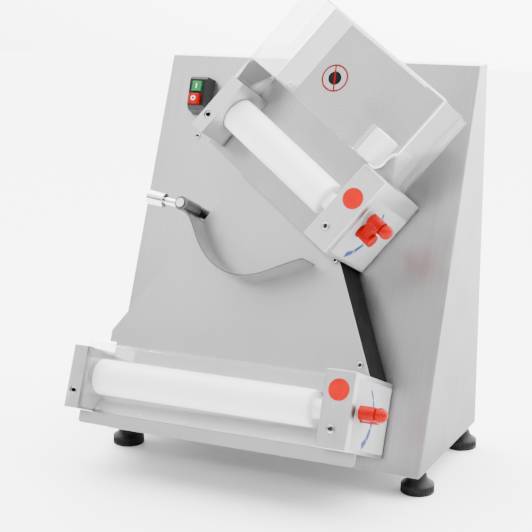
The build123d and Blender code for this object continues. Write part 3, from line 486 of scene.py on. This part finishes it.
materials = {}
for make, looks in (
    (steelMaterial, steels), (plasticMaterial, plastics), (clearMaterial, clears),
):
    for name, look in looks.items():
        materials[name] = make(name, look)
print("materials:", len(materials))


def keep(mesh, name, material, body):
    # a new piece in the scene, with its finish, riding on its body
    piece = bpy.data.objects.new(name, mesh)
    bpy.context.scene.collection.objects.link(piece)
    if not mesh.materials:
        mesh.materials.append(materials[material])
    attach(piece, body)
    return piece


sharpFrom = 35.0  # degrees between two faces that keep a crisp edge
mergeReach = 0.00002  # metres between corners that are really one
flatWithin = 1.0  # degrees between triangles of one flat face
bevelFrom = 30.0  # degrees between two faces whose edge is rounded


def meshFrom(work, name, smooth=sharpFrom):
    mesh = bpy.data.meshes.new(name)
    work.to_mesh(mesh)
    work.free()
    mesh.shade_smooth()
    mesh.set_sharp_from_angle(angle=radians(smooth))
    return mesh


def joinedCopy(node):
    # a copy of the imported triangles, joined up again at their corners
    work = bmesh.new()
    work.from_mesh(nodes[node].data)
    bmesh.ops.remove_doubles(work, verts=work.verts, dist=mergeReach)
    return work


def soften(node, material, width, segments):
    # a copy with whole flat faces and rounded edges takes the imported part's place
    work = joinedCopy(node)
    bmesh.ops.dissolve_limit(
        work, angle_limit=radians(flatWithin), verts=work.verts, edges=work.edges
    )
    piece = keep(meshFrom(work, node + "Body"), node + "Body", material, bodyOf[node])
    bevel = piece.modifiers.new("edges", "BEVEL")
    bevel.width = width
    bevel.segments = segments
    bevel.limit_method = "ANGLE"
    bevel.angle_limit = radians(bevelFrom)
    bevel.harden_normals = True
    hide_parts(node)
    return piece


sawnEdge = dict(width=0.0019, rim=0.012)  # a narrower face with a longer rim is a sawn edge


def brightenEdges(piece, material):
    # the sawn edges of a clear sheet gather light, so they get their own finish
    piece.data.materials.append(materials[material])
    points = piece.data.vertices
    for face in piece.data.polygons:
        rim = sum((points[a].co - points[b].co).length for a, b in face.edge_keys)
        if 2 * face.area / rim < sawnEdge["width"] and rim > sawnEdge["rim"]:
            face.material_index = 1


def dress(node, material):
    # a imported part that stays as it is, with a finish of its own
    mesh = nodes[node].data
    mesh.materials.clear()
    mesh.materials.append(materials[material])


# finish, width of the rounded edges in metres, and segments across them
softened = {
    "casing": ("sheetSteel", 0.0004, 2),
    "rear_cover": ("sheetSteel", 0.0003, 2),
    "base_plate": ("sheetSteel", 0.0003, 2),
    "slide_plate": ("chuteSteel", 0.0003, 2),
    "slide_sides": ("cheekBlack", 0.0004, 2),
    "hopper_cheek": ("frostedSteel", 0.0005, 2),
    "hopper_chute": ("hopperSteel", 0.0003, 2),
    "upper_exit_plate": ("hopperSteel", 0.0003, 2),
    "lower_exit_ramp": ("chuteSteel", 0.0003, 2),
    "hopper_guard": ("clearAcrylic", 0.0007, 3),
    "roller_cover": ("hazyAcrylic", 0.0006, 3),
    "switch_housing": ("switchBlack", 0.0008, 3),
    "control_box": ("boxGrey", 0.002, 3),
    "guard_sensor": ("sensorWhite", 0.0028, 4),
    "balance_arm": ("armGrey", 0.0003, 2),
}
for side in ("upper", "lower"):
    softened[side + "_left_housing"] = ("housingSteel", 0.0007, 3)
    softened[side + "_right_housing"] = ("housingSteel", 0.0006, 2)
    softened[side + "_front_plate"] = ("housingSteel", 0.0007, 3)
    softened[side + "_side_plate"] = ("housingSteel", 0.0005, 2)
for node, (material, width, segments) in softened.items():
    piece = soften(node, material, width, segments)
    if node in ("hopper_guard", "roller_cover"):
        brightenEdges(piece, "acrylicEdge")

dressed = {
    "foot_studs": "brightSteel", "cable_gland": "switchBlack", "pivot_post": "brightSteel",
    "counterweight": "brightSteel", "red_markers": "markerRed", "scale_labels": "labelGrey",
    "shaft_bushes": "bushBronze", "start_button": "startGreen", "stop_button": "leverRed",
}
for side in ("upper", "lower"):
    for part, material in (
        ("rear_roller", "rollerWhite"), ("front_roller", "rollerWhite"),
        ("drive_shaft", "brightSteel"), ("adjuster_rod", "brightSteel"),
        ("rear_gear", "guideWhite"), ("front_gear", "guideWhite"),
        ("bearing_blocks", "guideWhite"), ("belt", "footRubber"),
        ("roller_pulley", "castAlloy"), ("motor_pulley", "castAlloy"),
        ("gear_motor", "motorPaint"), ("lever", "leverRed"),
    ):
        dressed[f"{side}_{part}"] = material
for node, material in dressed.items():
    dress(node, material)
print("parts finished:", len(softened) + len(dressed))


twistSeed = 11


def placingTree():
    # one copy of an object on every point, turned and sized by the point, each with its own twist
    tree = bpy.data.node_groups.new("placedCopies", "GeometryNodeTree")
    for label, way, kind in (
        ("Points", "INPUT", "Geometry"), ("Copy", "INPUT", "Object"),
        ("Finish", "INPUT", "Material"), ("Hollow", "INPUT", "Material"),
        ("Twist", "INPUT", "Float"), ("Placed", "OUTPUT", "Geometry"),
    ):
        tree.interface.new_socket(label, in_out=way, socket_type="NodeSocket" + kind)
    given = tree.nodes.new("NodeGroupInput")
    result = tree.nodes.new("NodeGroupOutput")
    source = addNode(tree, "GeometryNodeObjectInfo", {"Object": given.outputs["Copy"]})
    turn, size = (
        addNode(
            tree, "GeometryNodeInputNamedAttribute", {"Name": label}, data_type="FLOAT_VECTOR"
        )
        for label in ("turn", "size")
    )
    turned = addNode(tree, "FunctionNodeEulerToRotation", {0: turn.outputs["Attribute"]})
    placed = addNode(
        tree, "GeometryNodeInstanceOnPoints",
        {"Points": given.outputs["Points"], "Instance": source.outputs["Geometry"],
         "Rotation": turned.outputs[0], "Scale": size.outputs["Attribute"]},
    )
    chance = addNode(tree, "FunctionNodeRandomValue", {"Seed": twistSeed}, data_type="FLOAT")
    angle = mathNode(tree, "MULTIPLY", chance.outputs[1], given.outputs["Twist"])
    twist = addNode(tree, "ShaderNodeCombineXYZ", {"Z": angle})
    twisted = addNode(tree, "FunctionNodeEulerToRotation", {0: twist.outputs[0]})
    spun = addNode(
        tree, "GeometryNodeRotateInstances",
        {"Instances": placed.outputs[0], "Rotation": twisted.outputs[0], "Local Space": True},
    )
    whole = addNode(tree, "GeometryNodeRealizeInstances", {"Geometry": spun.outputs[0]})
    finished = addNode(
        tree, "GeometryNodeSetMaterial",
        {"Geometry": whole.outputs[0], "Material": given.outputs["Finish"]},
    )
    # faces marked hollow take Hollow, which paints shade and contact shadow
    shadedFaces = addNode(
        tree, "GeometryNodeInputNamedAttribute", {"Name": "hollow"}, data_type="BOOLEAN"
    )
    shadePainted = addNode(
        tree, "GeometryNodeSetMaterial",
        {"Geometry": finished.outputs[0], "Selection": shadedFaces.outputs["Attribute"],
         "Material": given.outputs["Hollow"]},
    )
    tree.links.new(shadePainted.outputs[0], result.inputs["Placed"])
    return tree


placedCopies = placingTree()


def placeCopies(name, places, copyMesh, material, body, twist=0.0, hollow=None):
    # places are (point, the way the copy's z faces, size)
    mesh = bpy.data.meshes.new(name)
    mesh.from_pydata([point for point, axis, size in places], [], [])
    turn = mesh.attributes.new("turn", "FLOAT_VECTOR", "POINT")
    size = mesh.attributes.new("size", "FLOAT_VECTOR", "POINT")
    for index, (point, axis, extent) in enumerate(places):
        turn.data[index].vector = axis.to_track_quat("Z", "Y").to_euler()
        size.data[index].vector = extent
    piece = bpy.data.objects.new(name, mesh)
    bpy.context.scene.collection.objects.link(piece)
    source = bpy.data.objects.new(name + "Source", copyMesh)
    placing = piece.modifiers.new("placing", "NODES")
    placing.node_group = placedCopies
    sockets = {item.name: item.identifier for item in placedCopies.interface.items_tree}
    placing[sockets["Copy"]] = source
    placing[sockets["Finish"]] = materials[material]
    # hollow names the finish that paints shade on faces marked hollow
    placing[sockets["Hollow"]] = materials[hollow or material]
    placing[sockets["Twist"]] = twist
    graph = bpy.context.evaluated_depsgraph_get()
    grown = bpy.data.meshes.new_from_object(piece.evaluated_get(graph))
    piece.modifiers.clear()
    piece.data = grown
    grown.shade_smooth()
    grown.set_sharp_from_angle(angle=radians(sharpFrom))
    bpy.data.objects.remove(source)
    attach(piece, body)
    return piece


def islands(node):
    # the separate solids of one node, as lists of points
    work = joinedCopy(node)
    seen = set()
    groups = []
    for start in work.verts:  # in the mesh's own order, so that each run lists them alike
        if start in seen:
            continue
        seen.add(start)
        reached = [start]
        for vert in reached:
            for edge in vert.link_edges:
                other = edge.other_vert(vert)
                if other not in seen:
                    seen.add(other)
                    reached.append(other)
        groups.append([vert.co.copy() for vert in reached])
    work.free()
    return groups


def ringMesh(loops):
    # a closed skin through loops that have the same number of points
    work = bmesh.new()
    rows = [[work.verts.new(point) for point in loop] for loop in loops]
    count = len(rows[0])
    for one, two in zip(rows, rows[1:]):
        for k in range(count):
            work.faces.new((one[k], one[(k + 1) % count], two[(k + 1) % count], two[k]))
    work.faces.new(rows[0][::-1])
    work.faces.new(rows[-1])
    bmesh.ops.recalc_face_normals(work, faces=work.faces)
    return work


screwSides = 48  # points round a screw head


def circle(radius, height, count=screwSides):
    turns = [tau * k / count for k in range(count)]
    return [(radius * cos(angle), radius * sin(angle), height) for angle in turns]


def hexagon(across, height, count=screwSides):
    # as many points as the circle, on a hexagon's outline
    points = []
    for k in range(count):
        angle = tau * k / count
        reach = across / cos((angle + pi / 6) % (pi / 3) - pi / 6)
        points.append((reach * cos(angle), reach * sin(angle), height))
    return points


# shares of the head's radius and height, as (radius, height) from the seat up and into the socket
screwLook = dict(
    rim=[(1.0, 0.0), (1.0, 0.14), (1.0, 0.62), (0.97, 0.84), (0.88, 0.97), (0.82, 1.0),
         (0.74, 1.0)],
    socket=[(0.60, 0.93), (0.57, 0.82), (0.57, 0.2)], tip=(0.3, 0.12),
    # socketShadeBelow and socketShadeWithin pick the socket's faces for painted shade; seatShadeBelow and
    # seatShadeOutside pick a ring at the foot of the rim for a painted contact shadow
    socketShadeBelow=0.85, socketShadeWithin=0.64, seatShadeBelow=0.13, seatShadeOutside=0.9, crisp=28.0, twist=1.0,
)


def screwHead():
    # rounded rim, ground face and a hexagon socket with a chamfered mouth
    look = screwLook
    loops = [circle(r, z) for r, z in look["rim"]]
    loops += [hexagon(r, z) for r, z in look["socket"]]
    mesh = meshFrom(ringMesh(loops + [circle(*look["tip"])]), "head", look["crisp"])
    # faces marked hollow are painted dark: shade in the socket, a contact shadow round the foot of the rim
    hollow = mesh.attributes.new("hollow", "BOOLEAN", "FACE")
    for face in mesh.polygons:
        height, reach = face.center.z, face.center.xy.length
        socket = height < look["socketShadeBelow"] and reach < look["socketShadeWithin"]
        seatShade = height < look["seatShadeBelow"] and reach > look["seatShadeOutside"]
        hollow.data[face.index].value = socket or seatShade
    return mesh


sameHeight = 0.0001  # metres within which corners count as one flat end
clearlyLess = 0.00001  # metres by which a screw has to be shorter for another way to win


def screwPlaces():
    # each packed screw faces the way in which it is shortest, with its larger end on the sheet
    ways = [outward, Vector((0, 1, 0)), Vector((0, 0, 1)), Vector((1, 0, 0))]
    ways += [upper.col[0].to_3d(), lower.col[0].to_3d()]
    places = []
    for points in islands("screws"):
        best = None
        for way in ways:
            reach = [p.dot(way) for p in points]
            if best is None or max(reach) - min(reach) < best[0] - clearlyLess:
                best = (max(reach) - min(reach), way, min(reach), max(reach))
        height, way, low, high = best
        bottom = sum(1 for p in points if p.dot(way) - low < sameHeight)
        top = sum(1 for p in points if high - p.dot(way) < sameHeight)
        if bottom > top:
            way, low = -way, -high
        middle = sum(points, Vector()) / len(points)
        radius = max((p - middle - way * (p - middle).dot(way)).length for p in points)
        places.append((middle + way * (low - middle.dot(way)), way, (radius, radius, height)))
    return places


# screw sockets and the foot of each head take the painted shade finish
screwHeads = placeCopies(
    "screwHeads", screwPlaces(), screwHead(), "brightSteel", "base", twist=screwLook["twist"],
    hollow="socketDark",
)
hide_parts("screws")

# profile is (radius, height) in metres from the floor up; rib is (half width, lift) outwards
footLook = dict(
    profile=[(0.017, 0.0004), (0.0176, 0.0), (0.0202, 0.0), (0.021, 0.0007), (0.021, 0.0030),
             (0.0203, 0.0035), (0.0202, 0.0094), (0.0208, 0.0098), (0.0209, 0.0108),
             (0.0200, 0.0118), (0.0168, 0.0136), (0.0139, 0.0162), (0.0120, 0.0192),
             (0.0112, 0.0212), (0.0111, 0.0226), (0.0106, 0.0230)],
    sides=64, crisp=40.0, ribs=36, ribRadius=0.0203, ribFrom=0.0037, ribTo=0.0092,
    rib=[(0.0009, -0.0004), (0.0008, 0.0003), (0.0004, 0.0006)], ribCrisp=30.0,
)
up = Vector((0, 0, 1))
footMiddles = []
for points in islands("feet"):
    low = Vector([min(p[i] for p in points) for i in range(3)])
    high = Vector([max(p[i] for p in points) for i in range(3)])
    footMiddles.append(Vector(((low.x + high.x) / 2, (low.y + high.y) / 2, low.z)))
footLoops = [circle(r, z, footLook["sides"]) for r, z in footLook["profile"]]
footMesh = meshFrom(ringMesh(footLoops), "foot", footLook["crisp"])
footPlaces = [(middle, up, (1, 1, 1)) for middle in footMiddles]
feet = placeCopies("rubberFeet", footPlaces, footMesh, "footRubber", "base")
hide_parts("feet")
ribPlaces = []
for middle in footMiddles:
    foot = middle + up * footLook["ribFrom"]
    for k in range(footLook["ribs"]):
        angle = tau * k / footLook["ribs"]
        way = Vector((cos(angle), sin(angle), 0))
        ribPlaces.append((foot + way * footLook["ribRadius"], way, (1, 1, 1)))
ribRise = footLook["ribTo"] - footLook["ribFrom"]
ribLoops = [
    [(-w, 0.0, z), (w, 0.0, z), (w, ribRise, z), (-w, ribRise, z)] for w, z in footLook["rib"]
]
ribMesh = meshFrom(ringMesh(ribLoops), "rib", footLook["ribCrisp"])
placeCopies("footRibs", ribPlaces, ribMesh, "footRubber", "base")
print("screws and feet placed:", len(ribPlaces))


def flatMark(name, place, outline, height, material, body, hollow=None):
    # outline and hollow are loops of (a, b) on a plane, lifted by height
    low = [place @ Vector((a, b, 0)) for a, b in outline]
    high = [place @ Vector((a, b, height)) for a, b in outline]
    work = bmesh.new()
    outer = [[work.verts.new(p) for p in loop] for loop in (low, high)]
    count = len(outline)
    if hollow:
        inner = [
            [work.verts.new(place @ Vector((a, b, lift))) for a, b in hollow]
            for lift in (0, height)
        ]
        pairs = [
            (outer[0], outer[1]), (outer[1], inner[1]), (inner[1], inner[0]), (inner[0], outer[0]),
        ]
    else:
        pairs = [(outer[0], outer[1])]
        work.faces.new(outer[0][::-1])
        work.faces.new(outer[1])
    for one, two in pairs:
        for k in range(count):
            work.faces.new((one[k], one[(k + 1) % count], two[(k + 1) % count], two[k]))
    bmesh.ops.recalc_face_normals(work, faces=work.faces)
    return keep(meshFrom(work, name), name, material, body)


def flatCircle(middle, radius, count):
    turns = [tau * k / count for k in range(count)]
    return [(middle[0] + radius * cos(turn), middle[1] + radius * sin(turn)) for turn in turns]


def flatBar(middle, length, width, turn):
    along, across = Vector((cos(turn), sin(turn))), Vector((-sin(turn), cos(turn)))
    middle = Vector(middle)
    return [
        middle + along * (x * length / 2) + across * (y * width / 2)
        for x, y in ((-1, -1), (1, -1), (1, 1), (-1, 1))
    ]


def lifted(place, height):
    return place @ Matrix.Translation((0, 0, height))


# metres on the guard's front sheet, and the bar's turn in degrees
signLook = dict(
    middle=(0.114, 0.115), lift=0.00002, sides=56,
    ring=0.0172, ringInside=0.0150, ringHeight=0.00016, disc=0.0085, discHeight=0.00014,
    bar=0.0302, barWidth=0.0020, barTurn=128.0, barLift=0.00018, barHeight=0.00012,
)
guardLow, guardHigh = inFrame(upper, "hopper_guard")
signPlace = lifted(upper, guardHigh.z + signLook["lift"])
ringOutside, ringInside, discOutline = (
    flatCircle(signLook["middle"], signLook[size], signLook["sides"])
    for size in ("ring", "ringInside", "disc")
)
barOutline = flatBar(
    signLook["middle"], signLook["bar"], signLook["barWidth"], radians(signLook["barTurn"])
)
flatMark("signRing", signPlace, ringOutside, signLook["ringHeight"], "signRed", "base",
         hollow=ringInside)
flatMark("signBar", lifted(signPlace, signLook["barLift"]), barOutline, signLook["barHeight"],
         "signRed", "base")
flatMark("signDisc", signPlace, discOutline, signLook["discHeight"], "signDark", "base")


# metres: the rim is a pale bead sunk below the sheet's face, a painted highlight along the guard's edges,
# and its corner beside the right housing is swept from one side of a straight line to the other
rimHighlightLook = dict(
    bead=0.0012, sides=10, sunk=0.0014, crisp=60.0, foot=0.067, footFrom=0.0200, footTo=0.0150,
    cutIn=0.0125, cutTop=0.098, swayAcross=0.0024, swayUp=0.0012, steps=12,
    sideFrom=0.104, corner=0.002, cornerCut=0.0006, leftIn=0.001,
)


def bead(name, place, path, look, material, body):
    # a round bead along a flat path given as (a, b), on the plane's own height
    rings = []
    for k, (a, b) in enumerate(path):
        before, after = path[max(k - 1, 0)], path[min(k + 1, len(path) - 1)]
        run = Vector((after[0] - before[0], after[1] - before[1], 0)).normalized()
        out = Vector((run.y, -run.x, 0))
        turns = [tau * s / look["sides"] for s in range(look["sides"])]
        rings.append([
            place @ (Vector((a, b, 0)) + (out * cos(turn) + up * sin(turn)) * look["bead"])
            for turn in turns
        ])
    mesh = meshFrom(ringMesh(rings), name, look["crisp"])
    return keep(mesh, name, material, body)


def highlightPath(look):
    # from beside the right housing, up the swept corner and the side, and along the top edge
    right, top = guardHigh.x, guardHigh.y
    path = [(right - look["footFrom"], look["foot"]), (right - look["footTo"], look["foot"])]
    for s in range(look["steps"] + 1):
        done = s / look["steps"]
        sway = sin(tau * done)
        path.append((
            right - look["cutIn"] * (1 - done) + look["swayAcross"] * sway,
            look["foot"] + (look["cutTop"] - look["foot"]) * done - look["swayUp"] * sway,
        ))
    path += [(right, look["sideFrom"]), (right, top - look["corner"])]
    path += [(right - look["cornerCut"], top - look["cornerCut"]), (right - look["corner"], top)]
    return path + [(guardLow.x + look["leftIn"], top)]


# painted highlight along the top and right edges of the guard
bead("guardRim", lifted(upper, guardHigh.z - rimHighlightLook["sunk"]), highlightPath(rimHighlightLook), rimHighlightLook,
     "acrylicEdge", "base")

buttonLook = dict(
    lift=0.00002, height=0.0002, bar=0.0064, barWidth=0.0013, ring=0.0033, ringInside=0.0021,
    sides=32,
)
right = Vector((1, 0, 0))
panelPlace = Matrix((right, outward.cross(right), outward)).transposed().to_4x4()


def markButton(name, node):
    # a bar on the start button, a ring on the stop button
    look = buttonLook
    low, high = inFrame(panelPlace, node)
    middle = ((low.x + high.x) / 2, (low.y + high.y) / 2)
    if node == "start_button":
        outline, hollow = flatBar(middle, look["bar"], look["barWidth"], pi / 2), None
    else:
        outline = flatCircle(middle, look["ring"], look["sides"])
        hollow = flatCircle(middle, look["ringInside"], look["sides"])
    flatMark(name, lifted(panelPlace, high.z + look["lift"]), outline, look["height"],
             "labelWhite", bodyOf[node], hollow=hollow)


markButton("startMark", "start_button")
markButton("stopMark", "stop_button")
print("marks made")


# blue bands round each lever, in metres and degrees, from thick to thin
scaleLook = dict(
    radius=0.037, start=-162.0, end=-29.0, bands=5, gap=3.0, steps=10, thin=0.0030, thick=0.0088,
    lift=0.00025, height=0.0002,
)


def scaleArc(side, place):
    look = scaleLook
    edge = inFrame(place, side + "_side_plate")[1].x + look["lift"]
    pivot = place.inverted() @ Vector(joints[side + "_lever_swing"]["pos_m"])
    work = bmesh.new()
    sweep = (look["end"] - look["start"]) / look["bands"]
    for band in range(look["bands"]):
        first = look["start"] + band * sweep + look["gap"] / 2
        last = first + sweep - look["gap"]
        rings = []
        for step in range(look["steps"] + 1):
            angle = radians(first + (last - first) * step / look["steps"])
            done = (band + step / look["steps"]) / look["bands"]
            half = (look["thick"] + (look["thin"] - look["thick"]) * done) / 2
            ring = []
            for way, lift in ((-1, 0), (1, 0), (1, look["height"]), (-1, look["height"])):
                reach = look["radius"] + way * half
                point = (edge + lift, pivot.y + reach * cos(angle), pivot.z + reach * sin(angle))
                ring.append(work.verts.new(place @ Vector(point)))
            rings.append(ring)
        for one, two in zip(rings, rings[1:]):
            for k in range(4):
                work.faces.new((one[k], one[(k + 1) % 4], two[(k + 1) % 4], two[k]))
        work.faces.new(rings[0][::-1])
        work.faces.new(rings[-1])
    bmesh.ops.recalc_face_normals(work, faces=work.faces)
    name = side + "ScaleArc"
    return keep(meshFrom(work, name), name, "scaleBlue", "base")


for side, place in (("upper", upper), ("lower", lower)):
    scaleArc(side, place)
print("scale arcs done")


# the room is dim in front and bright behind and above, from riseFrom to riseTo along rise;
# each light is its name, place, size and power, and points at lit
studio = dict(
    floor=(0.93, 0.93, 0.93), floorRoughness=0.9, floorReach=6,
    front=0.46, behind=11.5, rise=(0.0, 0.62, 0.78), riseFrom=0.08, riseTo=0.78,
    camera=(0.7189, -1.5564, 0.6521), target=(-0.0336, 0.0399, 0.2480), lens=93.1, sensor=36.0,
    lit=(0, 0, 0.3),
    lights=[
        ("key", (-1.3, -2.0, 1.9), 1.2, 14.0),
        ("fill", (1.9, -1.4, 1.0), 1.2, 3.0),
        ("top", (0.1, 0.3, 2.4), 1.6, 26.0),
    ],
)

floorMesh = bpy.data.meshes.new("floor")
far = studio["floorReach"]
floorMesh.from_pydata(
    [(-far, -far, 0), (far, -far, 0), (far, far, 0), (-far, far, 0)], [], [(0, 1, 2, 3)]
)
floor = bpy.data.objects.new("floor", floorMesh)
bpy.context.scene.collection.objects.link(floor)
floorMaterial, _, floorShader = blankMaterial("paleFloor")
floorShader.inputs["Base Color"].default_value = (*studio["floor"], 1.0)
floorShader.inputs["Roughness"].default_value = studio["floorRoughness"]
floorMesh.materials.append(floorMaterial)

world = bpy.data.worlds.new("studio")
world.use_nodes = True
sky = world.node_tree
direction = addNode(sky, "ShaderNodeTexCoord")
towards = addNode(
    sky, "ShaderNodeVectorMath", {0: direction.outputs["Generated"], 1: studio["rise"]},
    operation="DOT_PRODUCT",
)
brightness = addNode(
    sky, "ShaderNodeMapRange",
    {"Value": towards.outputs["Value"], "From Min": studio["riseFrom"],
     "From Max": studio["riseTo"], "To Min": studio["front"], "To Max": studio["behind"]},
    interpolation_type="SMOOTHSTEP",
)
sky.links.new(brightness.outputs[0], sky.nodes["Background"].inputs["Strength"])
sky.nodes["Background"].inputs["Color"].default_value = (1.0, 1.0, 1.0, 1.0)
bpy.context.scene.world = world


def aim(thing, where, target):
    thing.location = where
    thing.rotation_euler = (Vector(target) - Vector(where)).to_track_quat("-Z", "Y").to_euler()
    bpy.context.scene.collection.objects.link(thing)


for name, where, size, power in studio["lights"]:
    lamp = bpy.data.lights.new(name, "AREA")
    lamp.energy = power
    lamp.size = size
    aim(bpy.data.objects.new(name, lamp), where, studio["lit"])

cameraData = bpy.data.cameras.new("camera")
cameraData.lens = studio["lens"]
cameraData.sensor_width = studio["sensor"]
camera = bpy.data.objects.new("camera", cameraData)
aim(camera, studio["camera"], studio["target"])
bpy.context.scene.camera = camera
print("studio ready")
